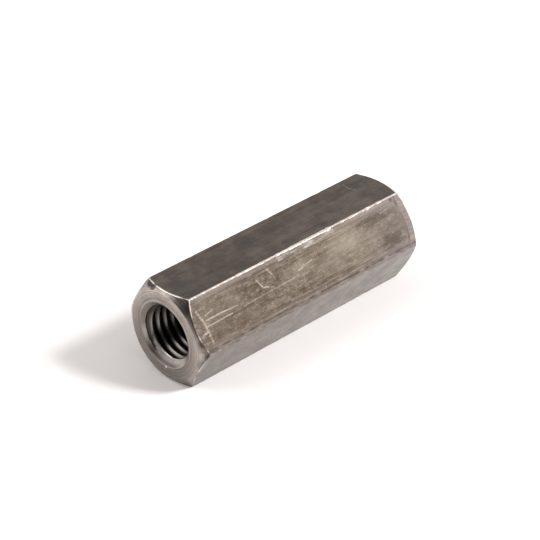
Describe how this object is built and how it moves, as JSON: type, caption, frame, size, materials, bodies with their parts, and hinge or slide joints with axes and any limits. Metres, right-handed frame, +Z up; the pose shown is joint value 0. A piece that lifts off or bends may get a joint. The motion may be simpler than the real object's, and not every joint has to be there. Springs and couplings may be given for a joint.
{
  "type": "coupling nut",
  "caption": "Long hexagonal nut with a thread from end to end, countersunk mouths and turned, chamfered ends, for joining two threaded rods in line.",
  "frame": {"origin": "on the floor under the middle of the nut, which lies on one of its six flats", "axes": "+X along the nut and its thread, from the near end to the far end, +Y across it to the far side, +Z up"},
  "size_m": [0.057, 0.0218, 0.019],
  "materials": {
    "bare_steel": "plain unplated steel: cold-drawn flats with a thin grey-brown oxide and scuffs, turned end faces, corners worn bright"
  },
  "bodies": {
    "root": {"coupling_nut": "bare_steel"}
  },
  "joints": []
}
